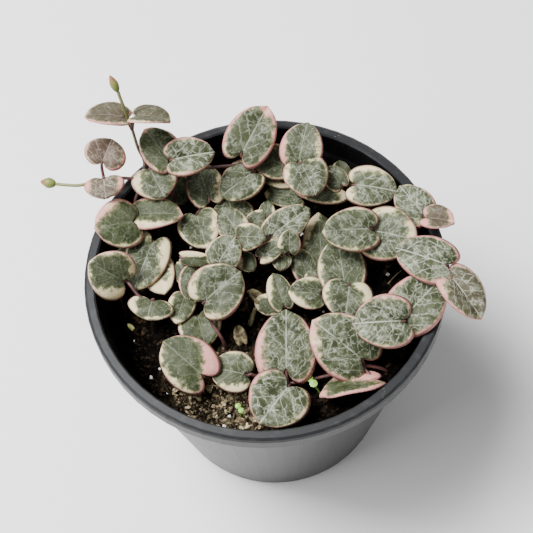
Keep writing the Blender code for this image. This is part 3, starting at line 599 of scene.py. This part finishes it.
def blade(work, layers, leaf, seed):
    """A fleshy heart in the bmesh: rows from the notch round a lobe to the tip, waved by the seed."""
    placing = leaf_frame(leaf)
    normal = placing[4]
    outline = [point.to_2d() for point in smooth_line([Vector((*pair, 0)) for pair in HEART], 5)]
    count = len(outline) - 1
    middle = blade_point(leaf, placing, 0, 0.42)
    edge = [blade_point(leaf, placing, side * x, y) - middle for side in (-1, 1) for x, y in outline]
    wide = max(abs(point.dot(right)) for point in edge)
    tall = max(abs(point.dot(up)) for point in edge)
    cells = {}
    for side in (-1, 1):
        for i, (x, y) in enumerate(outline):
            spine = (i / count) ** 1.25
            for j in range(BLADE_SPANS + 1):
                if (j == 0 and side > 0) or (i in (0, count) and j > 0):
                    continue
                u = j / BLADE_SPANS
                across = side * x * u
                along = spine + (y - spine) * u
                wave = 0.05 * noise.noise(Vector((across * 2 + seed, along * 2, seed))) * u
                point = blade_point(leaf, placing, across, along)
                point += normal * (wave * leaf.width * MM - 0.05 * leaf.width * MM * u ** 4)
                offset = point - middle
                place = Vector((offset.dot(right) / wide, offset.dot(up) / tall))
                cream = -1.0
                pink = 0.5
                for compass, reach, flush in leaf.marks:
                    value = place.dot(Vector(COMPASS[compass])) - PATCH_EDGE + reach
                    if value > cream:
                        cream, pink = value, flush
                rim = 1 if i in (0, count) else u
                thick = BLADE / 2 * math.sqrt(1 - rim ** 5)
                faces = (1, -1) if rim < 1 else (0,)
                for face in faces:
                    vert = work.verts.new(point + normal * (thick * face))
                    vert[layers["patch"]] = Vector((cream, pink, leaf.silver))
                    vert[layers["kind"]] = Vector((0, leaf.dark, leaf.purple))
                    vert[layers["flat"]] = Vector((across, along, rim))
                    cells[side, i, j, face] = vert

    def corner(side, i, j, face):
        if i in (0, count):
            j = 0
        if j == 0:
            side = -1
        return cells.get((side, i, j, face)) or cells[side, i, j, 0]

    for side in (-1, 1):
        for i in range(count):
            for j in range(BLADE_SPANS):
                for face in (1, -1):
                    ring = []
                    for at in ((i, j), (i + 1, j), (i + 1, j + 1), (i, j + 1)):
                        vert = corner(side, *at, face)
                        if vert not in ring:
                            ring.append(vert)
                    if side * face > 0:
                        ring.reverse()
                    if len(ring) > 2:
                        work.faces.new(ring).material_index = 0


def oval(work, layers, root, tip, radius):
    """A closed bud from the root to the tip in the bmesh."""
    turn = (tip - root).to_track_quat("Z", "Y").to_matrix().to_4x4()
    size = Matrix.Diagonal((radius, radius, (tip - root).length * 0.6, 1))
    placing = Matrix.Translation(tip.lerp(root, 0.4)) @ turn @ size
    made = bmesh.ops.create_uvsphere(work, u_segments=20, v_segments=14, radius=1)
    for vert in made["verts"]:
        x, y, z = vert.co
        slim = 1 - 0.5 * max(0, z)
        vert[layers["kind"]] = Vector(((z + 1) / 2, 0, 0))
        vert.co = placing @ Vector((x * slim, y * slim, z))
    for face in {face for vert in made["verts"] for face in vert.link_faces}:
        face.material_index = 2


leaf_material, add, join, principled = shader("variegated leaf", 0.5)
place = add("ShaderNodeTexCoord").outputs["Object"]
across, along, rim = add("ShaderNodeSeparateXYZ", {
    0: add("ShaderNodeAttribute", attribute_name="flat").outputs["Vector"]}).outputs
_, dark, purple = add("ShaderNodeSeparateXYZ", {
    0: add("ShaderNodeAttribute", attribute_name="kind").outputs["Vector"]}).outputs
cream, pink, silver = add("ShaderNodeSeparateXYZ", {
    0: add("ShaderNodeAttribute", attribute_name="patch").outputs["Vector"]}).outputs
warp = add("ShaderNodeTexNoise", {"Vector": place, "Scale": 330, "Detail": 4, "Roughness": 0.6})
ragged = add("ShaderNodeTexNoise", {
    "Vector": place, "Scale": 520, "Detail": 5, "Roughness": 0.65}).outputs[0]
mottle = add("ShaderNodeTexNoise", {"Vector": place, "Scale": 170, "Detail": 4}).outputs[0]
fine = add("ShaderNodeTexNoise", {"Vector": place, "Scale": 2100, "Detail": 3}).outputs[0]
bent = add("ShaderNodeVectorMath", {0: warp.outputs["Color"], "Scale": 0.0022}, operation="SCALE")
bent = add("ShaderNodeVectorMath", {0: place, 1: bent.outputs[0]}, operation="ADD").outputs[0]
wide_net, small_net = (add("ShaderNodeTexVoronoi", {"Vector": bent, "Scale": scale},
                           feature="DISTANCE_TO_EDGE").outputs[0] for scale in (360, 800))
off = maths(add, "ABSOLUTE", across)
midrib = ramp(add, maths(add, "ADD", off, maths(add, "MULTIPLY", ragged, 0.03)), 0.05, 0.018)
fan = maths(add, "SUBTRACT", maths(add, "MULTIPLY", along, 3.6), maths(add, "MULTIPLY", off, 2.1))
fan = maths(add, "ADD", fan, maths(add, "MULTIPLY", warp.outputs[0], 1.1))
fan = maths(add, "ABSOLUTE", maths(add, "SUBTRACT", maths(add, "FRACT", fan), 0.5))
veins = maths(add, "MAXIMUM", midrib, maths(add, "MULTIPLY", ramp(add, fan, 0.06, 0.012), 0.7))
broken = ramp(add, ragged, 0.4, 0.58)
net = maths(add, "MULTIPLY", ramp(add, wide_net, 0.085, 0.0), broken)
finest = maths(add, "MULTIPLY", ramp(add, small_net, 0.09, 0.0), ramp(add, warp.outputs[0], 0.5, 0.66))
net = maths(add, "MULTIPLY", maths(add, "MAXIMUM", net, finest), 0.7)
veins = maths(add, "MAXIMUM", maths(add, "MULTIPLY", veins, ramp(add, mottle, 0.25, 0.55)), net)
green = blend(add, ramp(add, mottle, 0.35, 0.65), (0.03, 0.037, 0.017, 1), (0.052, 0.061, 0.03, 1))
strong = maths(add, "MULTIPLY", silver, silver)
silvered = maths(add, "MULTIPLY", strong, ramp(add, warp.outputs[0], 0.4, 0.66))
green = blend(add, maths(add, "MULTIPLY", silvered, 0.5), green, (0.2, 0.22, 0.15, 1))
# Painted shade: a leaf's darkness, given to leaves that lie in shade, turns its green towards a dark
# olive.
painted_shade_olive = blend(add, ramp(add, warp.outputs[0], 0.42, 0.6), (0.022, 0.03, 0.01, 1), (0.045, 0.056, 0.022, 1))
tone = blend(add, maths(add, "MULTIPLY", dark, ramp(add, mottle, 0.6, 0.44)), green, painted_shade_olive)
tone = blend(add, purple, tone, (0.15, 0.075, 0.07, 1))
vein_tone = blend(add, purple, (0.52, 0.54, 0.44, 1), (0.55, 0.34, 0.32, 1))
shown = maths(add, "MULTIPLY", veins, maths(add, "ADD", maths(add, "MULTIPLY", strong, 0.72), 0.05))
tone = blend(add, shown, tone, vein_tone)
flecks = maths(add, "MULTIPLY", ramp(add, ragged, 0.58, 0.66), maths(add, "MULTIPLY", silver, 0.4))
tone = blend(add, flecks, tone, (0.4, 0.43, 0.33, 1))
shift = maths(add, "MULTIPLY", maths(add, "SUBTRACT", ragged, 0.5), 0.75)
margin = maths(add, "SUBTRACT", maths(add, "MULTIPLY", maths(add, "SUBTRACT", rim, 0.85), 2.0), 0.02)
pale = maths(add, "ADD", maths(add, "MAXIMUM", cream, margin), shift)
flush = maths(add, "ADD", pink, maths(add, "MULTIPLY", maths(add, "SUBTRACT", warp.outputs[0], 0.5), 1.3))
flush = maths(add, "ADD", flush, maths(add, "MULTIPLY", ramp(add, rim, 0.82, 1), 0.3))
pale_tone = blend(add, ramp(add, flush, 0.4, 0.95), (0.7, 0.6, 0.36, 1), (0.64, 0.29, 0.26, 1))
tone = blend(add, maths(add, "MULTIPLY", ramp(add, pale, -0.14, 0.05), 0.5), tone, (0.2, 0.21, 0.1, 1))
tone = blend(add, maths(add, "MULTIPLY", ramp(add, pale, -0.03, 0.15), 0.92), tone, pale_tone)
hem = maths(add, "MULTIPLY", ramp(add, rim, 0.92, 1), ramp(add, mottle, 0.25, 0.5))
tone = blend(add, maths(add, "MULTIPLY", hem, 0.75), tone, (0.58, 0.27, 0.24, 1))
tone = blend(add, maths(add, "MULTIPLY", ramp(add, fine, 0.66, 0.76), 0.4), tone, (0.58, 0.58, 0.5, 1))
join(tone, principled.inputs["Base Color"])
principled.inputs["Specular IOR Level"].default_value = 0.12
relief = maths(add, "ADD", maths(add, "MULTIPLY", veins, -0.6), maths(add, "MULTIPLY", fine, 0.35))
bump = add("ShaderNodeBump", {"Height": relief, "Strength": 0.4, "Distance": 0.3 * MM})
join(bump.outputs[0], principled.inputs["Normal"])

stem_material, add, join, principled = shader("leaf stem", 0.5)
part, fresh, _ = add("ShaderNodeSeparateXYZ", {
    0: add("ShaderNodeAttribute", attribute_name="kind").outputs["Vector"]}).outputs
place = add("ShaderNodeTexCoord").outputs["Object"]
varied = add("ShaderNodeTexNoise", {"Vector": place, "Scale": 300, "Detail": 3}).outputs[0]
tone = blend(add, ramp(add, varied, 0.35, 0.65), (0.05, 0.018, 0.018, 1), (0.13, 0.055, 0.05, 1))
young = maths(add, "MULTIPLY", fresh, ramp(add, part, 0.5, 0.85))
tone = blend(add, young, tone, (0.17, 0.17, 0.06, 1))
join(tone, principled.inputs["Base Color"])
bump = add("ShaderNodeBump", {"Height": varied, "Strength": 0.2, "Distance": 0.3 * MM})
join(bump.outputs[0], principled.inputs["Normal"])

bud_material, add, join, principled = shader("growing tip", 0.5)
part = add("ShaderNodeSeparateXYZ", {
    0: add("ShaderNodeAttribute", attribute_name="kind").outputs["Vector"]}).outputs[0]
tone = blend(add, ramp(add, part, 0.4, 0.95), (0.16, 0.19, 0.04, 1), (0.26, 0.09, 0.05, 1))
join(tone, principled.inputs["Base Color"])

for number, (name, vine) in enumerate(VINES.items()):
    work = bmesh.new()
    layers = {label: work.verts.layers.float_vector.new(label) for label in ("kind", "patch", "flat")}
    points = [seen(*point) for point in vine.stem]
    points[0].z = soil_height(points[0].x, points[0].y)
    line = smooth_line([points[0] - Vector((0, 0, ROOT_DEPTH)), *points], 6)
    tube(work, layers, line, STEM_RADIUS, 0.8, 0.1, 1 if vine.bud else 0)
    for i, leaf in enumerate(vine.leaves):
        placing = leaf_frame(leaf)
        base, _, _, along, normal = placing
        under = base - along * (1.2 * MM) - normal * (0.9 * MM)
        route = [points[leaf.node], under, blade_point(leaf, placing, 0, 0.1)]
        tube(work, layers, smooth_line(route, 5), STALK_RADIUS, 0.9, 0.25)
        blade(work, layers, leaf, number * 3.7 + i * 1.3)
    if vine.bud:
        oval(work, layers, points[-1], seen(*vine.bud.tip, vine.bud.height), vine.bud.radius * MM)
    mesh = bpy.data.meshes.new(name + "_leaves")
    work.to_mesh(mesh)
    work.free()
    mesh.shade_smooth()
    for material in (leaf_material, stem_material, bud_material):
        mesh.materials.append(material)
    shoot = bpy.data.objects.new(name + "_leaves", mesh)
    bpy.context.scene.collection.objects.link(shoot)
    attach(shoot, "root")
    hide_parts(name)

# Litter: withered leaves, one of them still green, a brown stub, dry twigs and a tuft of moss
# lie loose on the soil. A withered leaf is a small dull blade curled along its midrib. The stub
# and each twig have two picture points, their heights over the rim and a radius in mm. The moss
# has a middle and a spread in the picture, across and down.
WITHERED = (Leaf(0, (261, 304), (247, 291), -9.6, -8.4, 4.2, 30, 0.7, (), 0, 0, 0),
            Leaf(0, (243, 342), (238, 325), -12.6, -11.4, 4.2, -10, 0.8, (), 0, 0, 0),
            Leaf(0, (133, 329), (128, 324), -12.8, -12.6, 1.5, 0, 0.3, (), 0, 1, 0),
            Leaf(0, (206, 371), (190, 366), -11.6, -10.8, 4, 20, 0.8, (), 0, 0, 0))
TWIGS = (((250, 325), (256, 308), -13.4, -9, 0.9), ((185, 388), (226, 386), -12, -12.2, 0.22),
         ((183, 385), (197, 399), -12.4, -12, 0.2), ((232, 378), (204, 368), -12.6, -10.6, 0.2),
         ((330, 345), (352, 352), -12.8, -12.6, 0.2), ((388, 284), (402, 270), -12.6, -12.4, 0.25))
MOSS_ACROSS_PX = (345, 5)
MOSS_DOWN_PX = (159, 3.5)
MOSS_LEVEL = -12
MOSS_FRONT = 20 * MM
MOSS_EDGE = 45 * MM
FRONDS = 90
litter_material, add, join, principled = shader("litter", 0.8)
mossy = add("ShaderNodeSeparateXYZ", {
    0: add("ShaderNodeAttribute", attribute_name="kind").outputs["Vector"]}).outputs[1]
place = add("ShaderNodeTexCoord").outputs["Object"]
varied = add("ShaderNodeTexNoise", {"Vector": place, "Scale": 700, "Detail": 5}).outputs[0]
dry = blend(add, ramp(add, varied, 0.35, 0.65), (0.035, 0.022, 0.01, 1), (0.2, 0.17, 0.08, 1))
moss = blend(add, ramp(add, varied, 0.35, 0.65), (0.05, 0.055, 0.01, 1), (0.25, 0.24, 0.08, 1))
join(blend(add, mossy, dry, moss), principled.inputs["Base Color"])
work = bmesh.new()
layers = {label: work.verts.layers.float_vector.new(label) for label in ("kind", "patch", "flat")}
for leaf in WITHERED:
    blade(work, layers, leaf, 5.1)
for start, end, low, high, radius in TWIGS:
    halfway = seen((start[0] + end[0]) / 2, (start[1] + end[1]) / 2 - 1, (low + high) / 2)
    twig = smooth_line([seen(*start, low), halfway, seen(*end, high)], 4)
    tube(work, layers, twig, radius * MM, 0.8, 0)
tuft = random.Random(8)
for _ in range(FRONDS):
    root = seen(tuft.gauss(*MOSS_ACROSS_PX), tuft.gauss(*MOSS_DOWN_PX), MOSS_LEVEL)
    if root.xy.length < MOSS_EDGE:
        frond = Vector((tuft.gauss(0, 0.5), tuft.gauss(0, 0.5), tuft.uniform(1.2, 2.6))) * MM
        oval(work, layers, root, root + frond, 0.45 * MM)
for vert in work.verts:
    green = vert.co.y > MOSS_FRONT or vert[layers["kind"]].y
    vert[layers["kind"]] = Vector((0, 1 if green else 0, 0))
mesh = bpy.data.meshes.new("litter")
work.to_mesh(mesh)
work.free()
mesh.shade_smooth()
for _ in range(3):
    mesh.materials.append(litter_material)
litter = bpy.data.objects.new("litter", mesh)
bpy.context.scene.collection.objects.link(litter)
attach(litter, "root")

# Seedlings: two weed seedlings with a pair of round, bright green seed leaves each, that
# came up by themselves at the front. The CAD's solids stay.
material, add, join, principled = shader("seed leaf", 0.4)
place = add("ShaderNodeTexCoord").outputs["Object"]
varied = add("ShaderNodeTexNoise", {"Vector": place, "Scale": 500, "Detail": 2}).outputs[0]
tone = blend(add, ramp(add, varied, 0.4, 0.6), (0.2, 0.42, 0.06, 1), (0.32, 0.56, 0.12, 1))
join(tone, principled.inputs["Base Color"])
for name in ("seedling_front", "seedling_right"):
    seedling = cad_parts[name]
    seedling.data.materials.clear()
    seedling.data.materials.append(material)

# Floor and light: a plain pale floor, a wide soft light from above the left, and a weaker
# one a little lower beside it, in an even white surrounding.
LIGHT_AIM = Vector((0, 0, 0.08))
bpy.ops.mesh.primitive_plane_add(size=6, location=(0, 0, 0))
floor = bpy.context.object
floor.name = "floor"
material, add, join, principled = shader("pale floor", 0.9)
principled.inputs["Base Color"].default_value = (0.95, 0.95, 0.95, 1)
floor.data.materials.append(material)
for name, place, power, size in (("key", (-0.35, 0.12, 0.85), 18, 0.4),
                                 ("fill", (-0.5, -0.1, 0.7), 5, 0.6)):
    lamp = bpy.data.lights.new(name, "AREA")
    lamp.energy = power
    lamp.size = size
    light = bpy.data.objects.new(name, lamp)
    light.location = place
    light.rotation_euler = (LIGHT_AIM - Vector(place)).to_track_quat("-Z", "Y").to_euler()
    bpy.context.scene.collection.objects.link(light)
world = bpy.data.worlds.new("pale surrounding")
world.use_nodes = True
world.node_tree.nodes["Background"].inputs["Color"].default_value = (1, 1, 1, 1)
world.node_tree.nodes["Background"].inputs["Strength"].default_value = 0.38
bpy.context.scene.world = world
